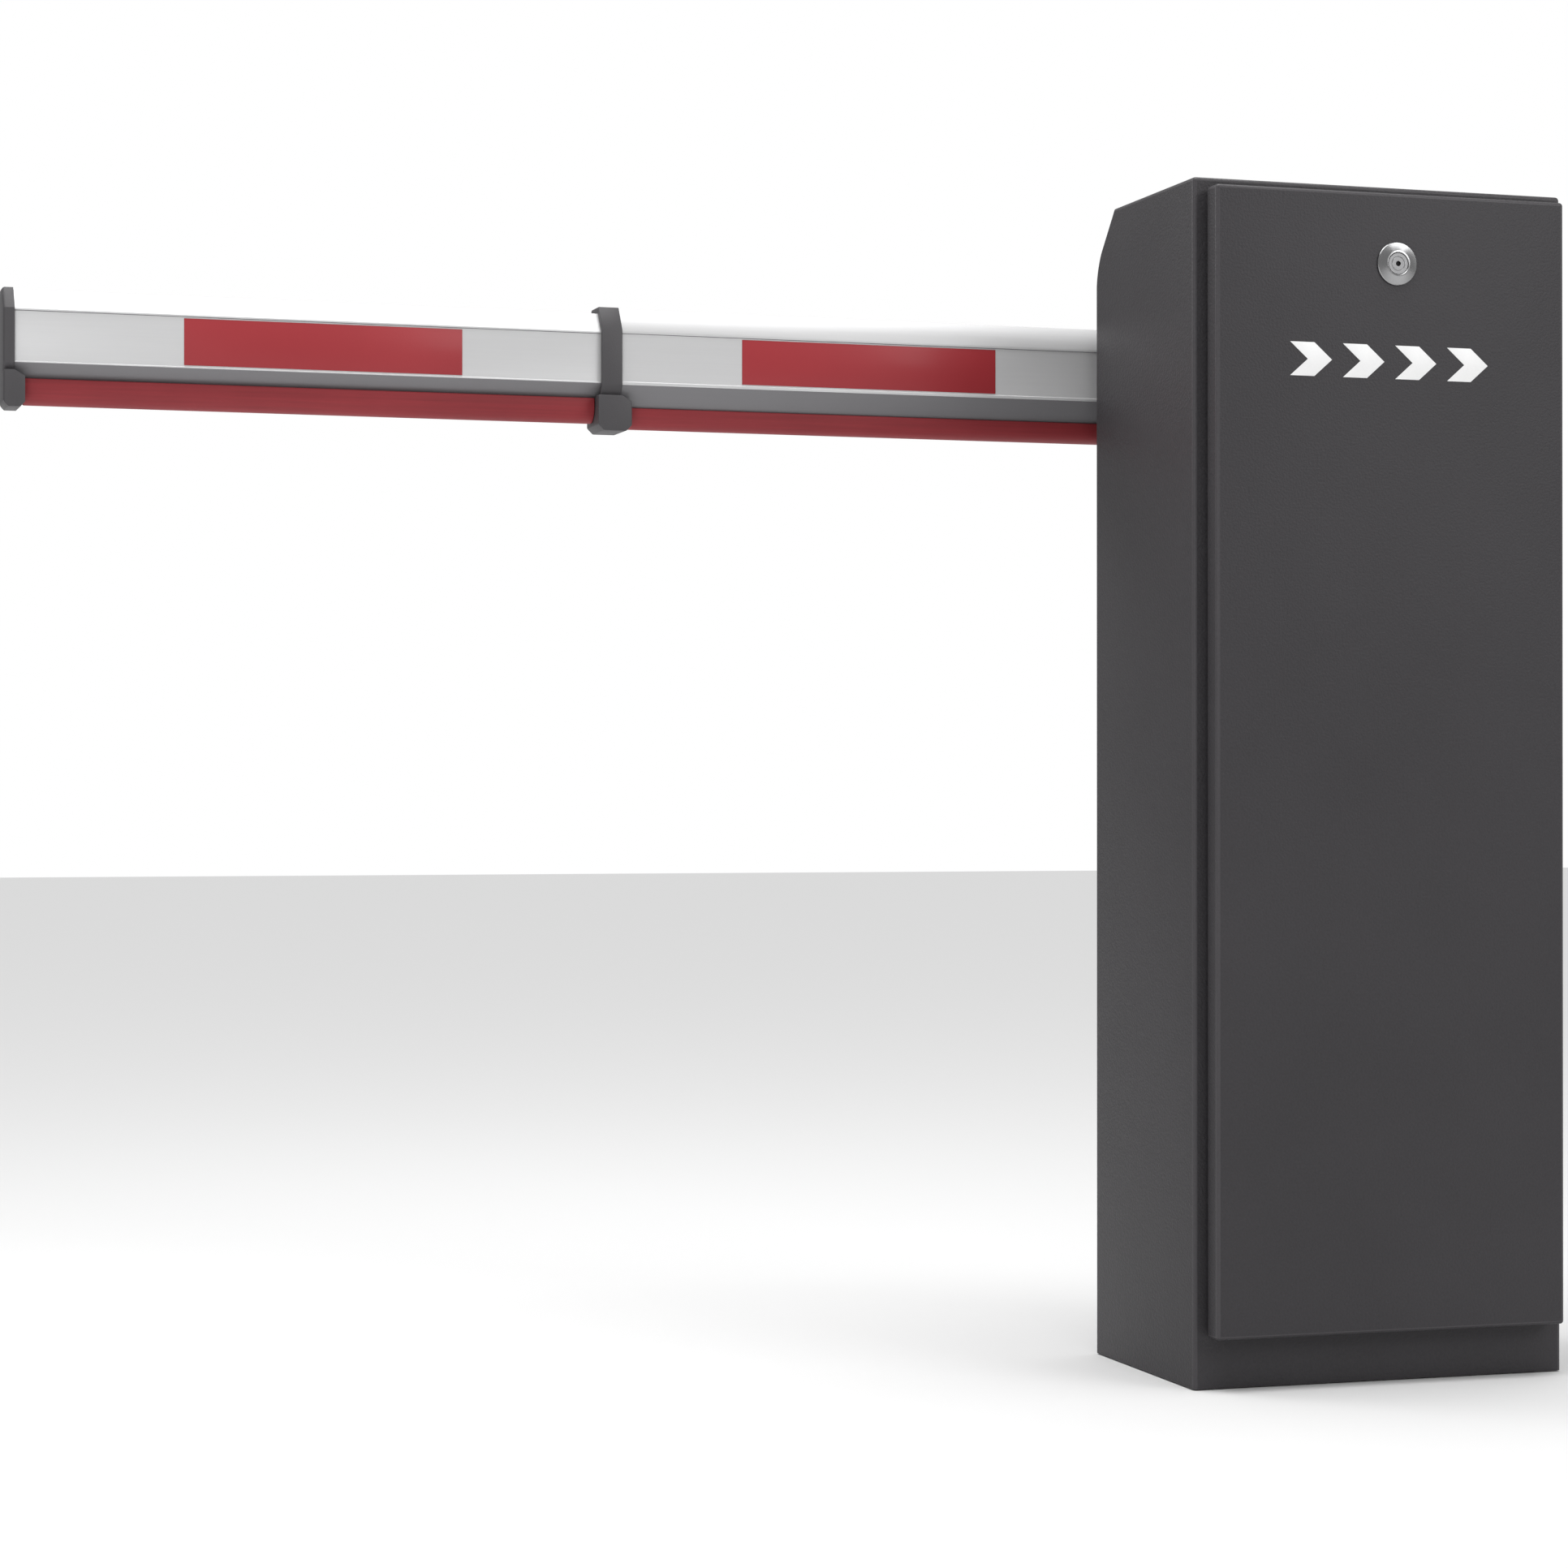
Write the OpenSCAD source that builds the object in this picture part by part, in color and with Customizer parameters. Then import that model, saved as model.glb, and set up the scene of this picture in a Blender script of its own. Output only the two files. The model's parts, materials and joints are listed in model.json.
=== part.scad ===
// Parking barrier gate: a sheet-steel cabinet with a lift-off door, a geared
// boom shaft balanced by springs, and a two-section aluminium boom.
// Millimetres, +Z up. The origin is on the ground at the middle of the cabinet.
// The door faces -Y and the lowered boom points along -X.

/* [Cabinet] */
// Width of the cabinet, along X
cab_w = 340; // [300:5:420]
// Depth of the cabinet, along Y
cab_d = 210; // [200:5:260]
// Height of the cabinet
cab_h = 1000; // [900:10:1200]
// Thickness of the cabinet sheet
sheet_t = 2; // [1.5:0.5:3]
// Depth of the slope at the top of the back
slope_y = 41; // [30:1:50]
// Height of the slope at the top of the back
slope_z = 46; // [36:1:56]
// Radius of the bend at the foot of the slope
slope_r = 50; // [20:5:60]
// Height of the front skirt below the door opening
skirt_h = 48; // [44:1:60]
// Height of the front rail above the door opening
head_h = 50; // [40:1:60]
// Width of the front flange beside the door opening
side_flange = 32; // [26:1:36]

/* [Base] */
// Thickness of the base plate
base_t = 6; // [4:1:10]
// Distance between anchor holes along X
anchor_x = 260; // [220:5:270]
// Distance between anchor holes along Y
anchor_y = 140; // [120:5:150]
// Diameter of an anchor hole
anchor_hole_d = 14; // [10:1:18]
// Width of the cable opening
cable_hole_w = 120; // [60:5:160]
// Depth of the cable opening
cable_hole_d = 70; // [40:5:80]

/* [Door] */
// Distance from the cabinet edge to the door edge
door_inset = 10; // [6:1:12]
// Distance from the top of the cabinet to the top of the door
door_top_gap = 9; // [6:1:14]
// Height of the door's lower edge above the ground
door_foot_z = 43; // [42:1:46]
// Depth of the door pan
door_pan_d = 18; // [14:1:20]
// Thickness of the door sheet
door_t = 1.5; // [1:0.5:2]
// Space between the door pan and the cabinet front
seal_gap = 6; // [5:0.5:7]
// Width of the folded rim at the back of the pan
door_rim = 18; // [16:1:22]
// Distance from the top of the cabinet to the lock
lock_drop = 68; // [65:1:90]
// Distance of the lock's centre to the right of the door's middle
lock_x = 3.5; // [-40:0.5:40]
// Outer diameter of the lock rosette
lock_ring_d = 36; // [30:1:40]

/* [Shaft and balance] */
// Height of the boom shaft
shaft_z = 863; // [780:1:866]
// Diameter of the boom shaft
shaft_d = 30; // [25:1:35]
// Distance from the shaft to the lever pin
lever_r = 90; // [75:1:95]
// Thickness of the balance lever
lever_t = 12; // [8:1:12]
// Diameter of the lever pin
pin_d = 16; // [12:1:18]
// Outer diameter of a balance spring
spring_d = 28; // [22:1:32]
// Distance between the two balance springs
spring_pitch = 36; // [34:1:44]
// Height of the spring beam above the ground
beam_z = 300; // [200:10:330]

/* [Boom] */
// Clear distance from the cabinet's back to the boom's front face
boom_off = 26; // [24:1:34]
// Distance from the shaft to the free end of the boom
boom_reach = 1111; // [1000:1:1300]
// Distance from the shaft to the outboard face of the joint collar
collar_x = 612; // [560:1:640]
// Thickness of the joint collar
collar_w = 18; // [14:1:24]
// Length of the boom behind the shaft
boom_tail = 60; // [50:1:90]
// Length of the boom holder in front of the shaft
holder_l = 112; // [95:1:125]
// Thickness of the root section
root_d = 46; // [42:1:50]
// Wall of both boom sections
boom_wall = 2.5; // [2:0.5:3]
// Height of the root section
root_h = 84; // [74:1:102]
// Height of the flat face of the root section
root_face_h = 46; // [42:1:48]
// Length of the tip section that stays inside the root section
tip_nest = 424; // [380:2:430]
// Length of a reflector
reflector_l = 233; // [180:1:240]
// Height of a reflector
reflector_h = 38.5; // [34:0.5:39]
// Drop of the root bumper below the root section
root_bumper_h = 17.5; // [15:0.5:22]
// Drop of the tip bumper below the tip section
tip_bumper_h = 21; // [18:0.5:24]

/* [Clearances] */
// Gap between parts that slide or seat loosely
slide_gap = 0.3; // [0.25:0.05:0.5]
// Space above the tip section inside the root section
tip_play_up = 1.5; // [0.5:0.5:3]
// Space below the tip section inside the root section
tip_play_down = 5; // [1:0.5:8]
// Gap between the lock cam and the head rail behind which it turns
latch_gap = 1.2; // [0.5:0.1:2]
// Radial gap of a shaft in its bearing
run_gap = 0.05; // [0.03:0.01:0.08]

/* [Hidden] */
$fn = 48;
eps = 0.01;
graphite = [0.29, 0.28, 0.30];
steel = [0.62, 0.63, 0.65];
zinc = [0.75, 0.76, 0.78];
alu = [0.82, 0.82, 0.83];
rubber_red = [0.55, 0.16, 0.18];
rubber_black = [0.10, 0.10, 0.11];
plastic_grey = [0.34, 0.33, 0.35];

front_y = -cab_d / 2;
back_y = cab_d / 2;
in_x = cab_w / 2 - sheet_t;
in_front_y = front_y + sheet_t;
in_back_y = back_y - sheet_t;

// Places along the boom shaft, from the back wall to the front
plate_t = 6;
rear_plate_y = in_back_y - plate_t;
bearing_t = 18;
rear_bearing_y = rear_plate_y - bearing_t;
wheel_w = 24;
box_wall = 4;
box_play = 2;
bearing_gap = 5;
box_d = wheel_w + 2 * box_play + 2 * box_wall;
wheel_y = rear_bearing_y - bearing_gap - box_d / 2;
front_plate_y = wheel_y - box_d / 2 - 14 - plate_t;
front_bearing_y = front_plate_y - 16;
lever_y = front_bearing_y - 6 - lever_t;
cam_y = lever_y - 10;
shaft_front_y = cam_y - 4;
hanger_t = 14;
hanger_y = lever_y - 6 - hanger_t;
spring_y = hanger_y + hanger_t / 2;

// The two bearing plates
plate_w = 230;
plate_up = 68;
plate_down = 120;
post_x = plate_w / 2 - 14;
post_up = plate_up - 13;
post_down = plate_down - 13;
post_r = 8;

// Worm gear
wheel_r = 46;
wheel_teeth = 30;
worm_r = 12;
worm_z = shaft_z - wheel_r - worm_r - 0.6;
worm_shaft_r = 7;
box_r = wheel_r + 10;
worm_box_w = 104;
worm_box_h = 42;
motor_r = 31;
motor_l = 96;
motor_x = -worm_box_w / 2 - 8;
handwheel_r = 29;
handwheel_x = 84;

// Balance lever: the pin starts 45 degrees above the shaft and ends 45 below
lever_angle = 45;
lever_half = 14;
pin_x = lever_r * cos(lever_angle);
pin_z = shaft_z + lever_r * sin(lever_angle);
hanger_drop = 46;
hanger_hook_z = pin_z - hanger_drop;
spring_top_z = hanger_hook_z - 8;
eyebolt_r = 5;
beam_s = 30;
eyebolt_top_z = beam_z + beam_s + 40;
spring_foot_z = eyebolt_top_z + 2;
stop_x = 55;
buffer_l = 12;
buffer_r = 6;

// Electrical panel
panel_x0 = -in_x + 18;
panel_w = 165;
panel_z0 = 380;
panel_h = 320;
panel_t = 3;
standoff_l = 12;
panel_y = in_back_y - standoff_l - panel_t;

// Door
door_w = cab_w - 2 * door_inset;
door_z0 = door_foot_z;
door_z1 = cab_h - door_top_gap;
pan_back_y = front_y - seal_gap;
door_face_y = pan_back_y - door_pan_d;
pivot_y = front_y + 7;
pivot_z = skirt_h + 6;
hinge_pin_r = 4;
hook_x = door_w / 2 - 50;
hook_t = 6;
ear_t = 4;
ear_gap = 1;
gasket_w = 12;
gasket_edge = 4;
lock_z = cab_h - lock_drop;
lock_body_r = 12;
plug_r = 9.2;
plug_stem_r = 6;
rosette_t = 3.5;
cam_front_y = in_front_y + latch_gap;
cam_t = 2.5;
cam_reach = 42;
cam_half = 8;

// Boom, measured in the section across it
hub_gap = 4;
hub_r = 48;
holder_t = 8;
boom_y = back_y + boom_off;
holder_y = boom_y - holder_t;
hub_y0 = back_y + hub_gap;
tip_h = root_h - 2 * boom_wall - tip_play_up - tip_play_down;
tip_face_h = root_face_h - 2.3;
root_bevel = 12;
root_z0 = shaft_z - root_h / 2;
root_z1 = shaft_z + root_h / 2;
root_face_z0 = shaft_z - root_face_h / 2 - 0.5;
tip_y = boom_y + boom_wall + slide_gap;
tip_d = root_d - 2 * boom_wall - 2 * slide_gap;
tip_bevel = 11.5;
tip_z1 = root_z1 - boom_wall - tip_play_up;
tip_z0 = tip_z1 - tip_h;
tip_face_z0 = root_face_z0 + 0.8;
channel_h = 41;
channel_d = 1;
reflector_t = 0.5;
collar_in_x = collar_x - collar_w;
collar_grow = 1.5;
collar_foot = 3.5;
lobe_over = 8.5;
lobe_lip = 3;
lobe_shoulder = 5;
cap_t = 9;
cap_lobe = 17.5;
holder_x0 = -holder_l;
holder_x1 = boom_tail - 10;
holder_half_h = root_h / 2 + 22;
clamp_t = 6;
clamp_r = 5;
clamp_z = root_h / 2 + 11;
bumper_w = 26;
reflector_inset_tip = 137;
reflector_inset_root = 107;

// Side outline of the cabinet, moved inwards by t, open at the front and foot when t is not 0
function slope_len() = sqrt(slope_y * slope_y + slope_z * slope_z);
function cab_outline(t) =
    let (sy = slope_y - t * (1 + (slope_y - slope_len()) / slope_z),
         sz = slope_z - t * (1 + (slope_z - slope_len()) / slope_y),
         lean = atan2(sz, sy),
         r = slope_r - t,
         tangent = r * tan((90 - lean) / 2),
         y1 = back_y - t, z1 = cab_h - t,
         arc_z = z1 - sz - tangent,
         open = t > 0 ? 1 : 0)
    concat([[front_y - open, -open], [front_y - open, z1], [y1 - sy, z1]],
        [for (i = [8:-1:0]) let (a = (90 - lean) * i / 8) [y1 - r + r * cos(a), arc_z + r * sin(a)]],
        [[y1, -open]]);

// Extrudes a section drawn in Y and Z along X
module along_x(x0, x1) {
    translate([x0, 0, 0]) rotate([90, 0, 90]) linear_extrude(x1 - x0) children();
}

// A rod along X, Y or Z from its low end
module rod_x(x0, x1, y, z, r) { translate([x0, y, z]) rotate([0, 90, 0]) cylinder(h = x1 - x0, r = r); }
module rod_y(y0, y1, x, z, r) { translate([x, y0, z]) rotate([-90, 0, 0]) cylinder(h = y1 - y0, r = r); }
module rod_z(z0, z1, x, y, r) { translate([x, y, z0]) cylinder(h = z1 - z0, r = r); }

// A box given by its two corners
module block(a, b) { translate(a) cube([b[0] - a[0], b[1] - a[1], b[2] - a[2]]); }

// A hexagon nut or head along Y
module hex_y(y0, y1, x, z, r) {
    translate([x, y0, z]) rotate([-90, 0, 0]) cylinder(h = y1 - y0, r = r, $fn = 6);
}

module cabinet_shell() {
    color(graphite) difference() {
        along_x(-cab_w / 2, cab_w / 2) polygon(cab_outline(0));
        along_x(-in_x, in_x) polygon(cab_outline(sheet_t));
        rod_y(in_back_y - 1, back_y + 1, 0, shaft_z, shaft_d / 2 + 6);
    }
}

// The frame round the door opening, welded between the side walls
module front_frame() {
    color(graphite) difference() {
        block([-in_x, front_y, 0], [in_x, in_front_y, cab_h - sheet_t]);
        block([-in_x + side_flange - sheet_t, front_y - 1, skirt_h],
            [in_x - side_flange + sheet_t, in_front_y + 1, cab_h - head_h]);
    }
}

module base_plate() {
    color(steel) difference() {
        block([-in_x, in_front_y, 0], [in_x, in_back_y, base_t]);
        block([-cable_hole_w / 2, -cable_hole_d / 2, -1], [cable_hole_w / 2, cable_hole_d / 2, base_t + 1]);
        for (sx = [-1, 1], sy = [-1, 1])
            rod_z(-1, base_t + 1, sx * anchor_x / 2, sy * anchor_y / 2, anchor_hole_d / 2);
    }
}

module cable_grommet() {
    color(rubber_black) difference() {
        block([-cable_hole_w / 2, -cable_hole_d / 2, 0.5],
            [cable_hole_w / 2, cable_hole_d / 2, base_t + 5]);
        block([-cable_hole_w / 2 + 4, -cable_hole_d / 2 + 4, -1],
            [cable_hole_w / 2 - 4, cable_hole_d / 2 - 4, base_t + 6]);
    }
}

// A bearing plate with its shaft hole and four post holes
module bearing_plate(y0, hole_r, bolt_r) {
    difference() {
        block([-plate_w / 2, y0, shaft_z - plate_down], [plate_w / 2, y0 + plate_t, shaft_z + plate_up]);
        rod_y(y0 - 1, y0 + plate_t + 1, 0, shaft_z, hole_r);
        if (bolt_r > 0) at_posts() rod_y(y0 - 1, y0 + plate_t + 1, 0, 0, bolt_r);
    }
}

module at_posts() {
    for (sx = [-1, 1], dz = [-post_down, post_up]) translate([sx * post_x, 0, shaft_z + dz]) children();
}

module rear_bearing_plate() { color(steel) bearing_plate(rear_plate_y, shaft_d / 2 + 4, 0); }
module front_bearing_plate() { color(steel) bearing_plate(front_plate_y, shaft_d / 2 + 4, 5.2); }

module spacer_posts() {
    color(zinc) at_posts() rod_y(front_plate_y + plate_t, rear_plate_y, 0, 0, post_r);
}

module plate_bolts() {
    color(zinc) at_posts() {
        rod_y(front_plate_y, front_plate_y + plate_t, 0, 0, 5);
        hex_y(front_plate_y - 6, front_plate_y, 0, 0, 9);
    }
}

// A four-lobed flange bearing
module flange_bearing(y0, t) {
    difference() {
        union() {
            rod_y(y0, y0 + t, 0, shaft_z, 28);
            for (a = [45:90:315]) rod_y(y0, y0 + t, 32 * cos(a), shaft_z + 32 * sin(a), 9);
        }
        rod_y(y0 - 1, y0 + t + 1, 0, shaft_z, shaft_d / 2 + run_gap);
    }
}
module rear_bearing() { color(graphite) flange_bearing(rear_bearing_y, bearing_t); }
module front_bearing() { color(graphite) flange_bearing(front_bearing_y, front_plate_y - front_bearing_y); }

module main_shaft() { color(zinc) rod_y(shaft_front_y, holder_y, 0, shaft_z, shaft_d / 2); }

module worm_wheel() {
    color("goldenrod") difference() {
        union() {
            rod_y(wheel_y - wheel_w / 2, wheel_y + wheel_w / 2, 0, shaft_z, wheel_r - 4);
            for (i = [0:wheel_teeth - 1]) translate([0, wheel_y, shaft_z])
                rotate([0, i * 360 / wheel_teeth, 0])
                translate([wheel_r - 5, -wheel_w / 2, -2.2]) cube([4.6, wheel_w, 4.4]);
        }
        rod_y(wheel_y - wheel_w, wheel_y + wheel_w, 0, shaft_z, shaft_d / 2);
    }
}

// Gearbox body: a round case for the wheel over a box for the worm
module gearbox_shape(grow) {
    r = box_r + grow;
    y0 = wheel_y - box_d / 2 - grow;
    y1 = wheel_y + box_d / 2 + grow;
    rod_y(y0, y1, 0, shaft_z, r);
    block([-worm_box_w / 2 - grow, y0, worm_z - worm_box_h / 2 - grow],
        [worm_box_w / 2 + grow, y1, worm_z + worm_box_h / 2 + grow]);
}
module gearbox_part(y0, y1) {
    difference() {
        intersection() {
            gearbox_shape(0);
            block([-200, y0, worm_z - 100], [200, y1, shaft_z + 100]);
        }
        gearbox_shape(-box_wall);
        rod_y(y0 - 30, y1 + 30, 0, shaft_z, shaft_d / 2 + run_gap);
        rod_x(-worm_box_w, worm_box_w, wheel_y, worm_z, worm_shaft_r + run_gap);
    }
}
module gearbox_housing() { color(zinc) gearbox_part(wheel_y - box_d / 2 + box_wall, wheel_y + box_d / 2); }
module gearbox_cover() { color(steel) gearbox_part(wheel_y - box_d / 2, wheel_y - box_d / 2 + box_wall); }

module worm_shaft() {
    color(steel) {
        rod_x(motor_x - 60, handwheel_x + 16, wheel_y, worm_z, worm_shaft_r);
        for (i = [-5:4]) rod_x(i * 6 + 1.5, i * 6 + 4.5, wheel_y, worm_z, worm_r);
        rod_x(-32, 32, wheel_y, worm_z, worm_r - 3);
        rod_x(motor_x - 70, motor_x - 20, wheel_y, worm_z, 20);
    }
}

module motor_case() {
    color(graphite) difference() {
        union() {
            rod_x(motor_x - motor_l, motor_x, wheel_y, worm_z, motor_r - 2);
            rod_x(motor_x, -worm_box_w / 2, wheel_y, worm_z, 24);
            for (i = [0:7]) rod_x(motor_x - motor_l + 8 + i * 10, motor_x - motor_l + 13 + i * 10,
                wheel_y, worm_z, motor_r);
            block([motor_x - 70, wheel_y - 18, worm_z + motor_r - 6],
                [motor_x - 20, wheel_y + 18, worm_z + motor_r + 14]);
        }
        rod_x(motor_x - motor_l + 5, motor_x - 8, wheel_y, worm_z, 24);
        rod_x(motor_x - 10, 0, wheel_y, worm_z, worm_shaft_r + run_gap);
    }
}

module handwheel() {
    color("orangered") difference() {
        union() {
            translate([handwheel_x, wheel_y, worm_z]) rotate([0, 90, 0]) rotate_extrude()
                translate([handwheel_r - 5, 6]) circle(r = 5);
            rod_x(handwheel_x + 2, handwheel_x + 10, wheel_y, worm_z, handwheel_r - 5);
            rod_x(handwheel_x, handwheel_x + 14, wheel_y, worm_z, 12);
        }
        rod_x(handwheel_x - 1, handwheel_x + 20, wheel_y, worm_z, worm_shaft_r);
        for (a = [0:90:270])
            rod_x(handwheel_x, handwheel_x + 12, wheel_y + 17.5 * cos(a + 45), worm_z + 17.5 * sin(a + 45), 4.5);
    }
}

// Turns its children so that +X points along the lever at this angle
module lever_frame(angle) { translate([0, 0, shaft_z]) rotate([0, -angle, 0]) children(); }

module balance_lever() {
    color(zinc) lever_frame(lever_angle) difference() {
        union() {
            rod_y(lever_y, lever_y + lever_t, 0, 0, 26);
            rod_y(lever_y, lever_y + lever_t, lever_r, 0, lever_half);
            block([0, lever_y, -lever_half], [lever_r, lever_y + lever_t, lever_half]);
        }
        rod_y(lever_y - 1, lever_y + lever_t + 1, 0, 0, shaft_d / 2);
        rod_y(lever_y - 1, lever_y + lever_t + 1, lever_r, 0, pin_d / 2);
    }
}

module lever_pin() {
    color(steel) {
        rod_y(hanger_y - 3, lever_y + lever_t, pin_x, pin_z, pin_d / 2);
        rod_y(hanger_y - 5, hanger_y - 1, pin_x, pin_z, pin_d / 2 + 3);
    }
}

module spring_hanger() {
    half = spring_pitch / 2 + 10;
    color(steel) difference() {
        union() {
            rod_y(hanger_y, hanger_y + hanger_t, pin_x, pin_z, pin_d / 2 + 6);
            block([pin_x - pin_d / 2 - 6, hanger_y, hanger_hook_z],
                [pin_x + pin_d / 2 + 6, hanger_y + hanger_t, pin_z]);
            block([pin_x - half, hanger_y, hanger_hook_z - 8],
                [pin_x + half, hanger_y + hanger_t, hanger_hook_z + 8]);
        }
        rod_y(hanger_y - 1, hanger_y + hanger_t + 1, pin_x, pin_z, pin_d / 2 + run_gap);
    }
}

module at_springs() { for (s = [-1, 1]) translate([pin_x + s * spring_pitch / 2, spring_y, 0]) children(); }

module balance_springs() {
    color(graphite) at_springs() difference() {
        rod_z(spring_foot_z, spring_top_z - slide_gap, 0, 0, spring_d / 2);
        rod_z(spring_foot_z + 6, spring_top_z - 6, 0, 0, spring_d / 2 - 4);
    }
}

module spring_eyebolts() {
    color(zinc) at_springs() {
        rod_z(beam_z - 25, eyebolt_top_z - 6, 0, 0, eyebolt_r);
        rod_z(eyebolt_top_z - 6, spring_foot_z - slide_gap, 0, 0, 10);
    }
}

module eyebolt_nuts() {
    color(steel) at_springs() for (z0 = [beam_z - 9, beam_z + beam_s]) difference() {
        translate([0, 0, z0]) cylinder(h = 9, r = 9.5, $fn = 6);
        rod_z(z0 - 1, z0 + 10, 0, 0, eyebolt_r);
    }
}

module spring_beam() {
    color(graphite) difference() {
        block([-in_x, spring_y - beam_s / 2, beam_z], [in_x, spring_y + beam_s / 2, beam_z + beam_s]);
        block([-in_x - 1, spring_y - beam_s / 2 + 3, beam_z + 3],
            [in_x + 1, spring_y + beam_s / 2 - 3, beam_z + beam_s - 3]);
        at_springs() rod_z(beam_z - 1, beam_z + beam_s + 1, 0, 0, eyebolt_r + 0.3);
    }
}

// Stops are mirrored about the lever at each end of its travel
module at_stops() {
    lever_frame(lever_angle) children();
    lever_frame(-lever_angle) mirror([0, 0, 1]) children();
}
module stop_brackets() {
    z0 = lever_half + slide_gap + buffer_l;
    color(steel) at_stops() {
        block([stop_x - 12, lever_y, z0], [stop_x + 12, front_plate_y, z0 + 8]);
    }
}
module stop_buffers() {
    color(rubber_black) at_stops()
        rod_z(lever_half + slide_gap, lever_half + slide_gap + buffer_l, stop_x, lever_y + lever_t / 2,
            buffer_r);
}

module limit_cams() {
    color("white") for (i = [0, 1]) translate([0, cam_y + i * 4.5, shaft_z]) rotate([0, i * 90, 0])
        difference() {
        rotate([-90, 0, 0]) cylinder(h = 4, r = 24);
        rotate([-90, 0, 0]) translate([0, 0, -1]) cylinder(h = 6, r = shaft_d / 2);
        translate([19, -1, -8]) cube([8, 6, 16]);
    }
}
module limit_switches() {
    x0 = -24 - 0.8 - 20;
    color("navy") for (s = [-1, 1]) {
        block([x0, cam_y - 1, shaft_z + s * 12 - 7], [x0 + 20, cam_y + 9.5, shaft_z + s * 12 + 7]);
        block([x0 + 2, cam_y + 9.5, shaft_z + s * 12 - 5], [x0 + 10, front_plate_y, shaft_z + s * 12 + 5]);
    }
}

module panel_plate() {
    color(zinc) block([panel_x0, panel_y, panel_z0],
        [panel_x0 + panel_w, panel_y + panel_t, panel_z0 + panel_h]);
}
module panel_standoffs() {
    color(zinc) for (x = [12, panel_w - 12], z = [12, panel_h - 12])
        rod_y(panel_y + panel_t, in_back_y, panel_x0 + x, panel_z0 + z, 6);
}

module controller_box() {
    z0 = panel_z0 + panel_h - 170;
    color("dimgray") difference() {
        block([panel_x0 + 12, panel_y - 48, z0], [panel_x0 + panel_w - 12, panel_y, z0 + 150]);
        block([panel_x0 + 20, panel_y - 49, z0 + 24], [panel_x0 + panel_w - 20, panel_y - 44, z0 + 142]);
    }
}
module power_supply() {
    color(zinc) {
        block([panel_x0 + 20, panel_y - 42, panel_z0 + 12], [panel_x0 + 110, panel_y, panel_z0 + 62]);
        for (i = [0:6]) block([panel_x0 + 26 + i * 12, panel_y - 45, panel_z0 + 18],
            [panel_x0 + 32 + i * 12, panel_y - 42, panel_z0 + 56]);
    }
}
module din_rail() {
    z0 = panel_z0 + 88;
    color(zinc) {
        block([panel_x0 + 8, panel_y - 6, z0 + 8], [panel_x0 + panel_w - 8, panel_y, z0 + 27]);
        block([panel_x0 + 8, panel_y - 7.5, z0], [panel_x0 + panel_w - 8, panel_y - 6, z0 + 35]);
    }
}
module circuit_breaker() {
    z = panel_z0 + 88 + 17.5;
    color("white") for (i = [0, 1]) {
        x0 = panel_x0 + 16 + i * 18;
        block([x0, panel_y - 52, z - 40], [x0 + 17.5, panel_y - 7.5, z + 40]);
        block([x0, panel_y - 68, z - 22], [x0 + 17.5, panel_y - 52, z + 22]);
        block([x0 + 5, panel_y - 76, z - 4], [x0 + 12.5, panel_y - 68, z + 8]);
    }
}
module terminal_blocks() {
    z = panel_z0 + 88 + 17.5;
    color("beige") for (i = [0:9]) {
        x0 = panel_x0 + 66 + i * 8;
        block([x0, panel_y - 40, z - 24], [x0 + 7.5, panel_y - 7.5, z + 24]);
    }
}

// The door is a folded pan, open at the back, with a rim that carries the seal
module door_panel() {
    color(graphite) difference() {
        block([-door_w / 2, door_face_y, door_z0], [door_w / 2, pan_back_y, door_z1]);
        block([-door_w / 2 + door_t, door_face_y + door_t, door_z0 + door_t],
            [door_w / 2 - door_t, pan_back_y - door_t, door_z1 - door_t]);
        block([-door_w / 2 + door_rim, door_face_y + door_t, door_z0 + door_rim],
            [door_w / 2 - door_rim, pan_back_y + 1, door_z1 - door_rim]);
        rod_y(door_face_y - 1, door_face_y + door_t + 1, lock_x, lock_z, lock_body_r);
    }
}

module door_gasket() {
    x = door_w / 2 - gasket_edge;
    color(rubber_black) difference() {
        block([-x, pan_back_y, pivot_z + 6], [x, front_y - slide_gap, door_z1 - gasket_edge]);
        block([-x + gasket_w, pan_back_y - 1, 0],
            [x - gasket_w, front_y + 1, door_z1 - gasket_edge - gasket_w]);
    }
}

module door_hooks() {
    slot_r = hinge_pin_r + slide_gap;
    color(zinc) for (s = [-1, 1]) translate([s * hook_x - hook_t / 2, 0, 0]) difference() {
        union() {
            block([0, pan_back_y, pivot_z - 2], [hook_t, pivot_y + 12, pivot_z + 14]);
            block([0, pivot_y + slot_r, pivot_z - 8], [hook_t, pivot_y + 12, pivot_z]);
            block([-6, pan_back_y - 3, pivot_z - 2], [hook_t + 6, pan_back_y + 1, pivot_z + 24]);
            block([-6, pan_back_y - 3, door_z0 + door_t], [hook_t + 6, pan_back_y - door_t, pivot_z]);
        }
        block([-7, pan_back_y - door_t, door_z0], [hook_t + 7, pan_back_y, door_z0 + door_rim]);
        rod_x(-1, hook_t + 1, pivot_y, pivot_z, slot_r);
        block([-1, pivot_y - slot_r, pivot_z - 20], [hook_t + 1, pivot_y + slot_r, pivot_z]);
    }
}

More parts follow.
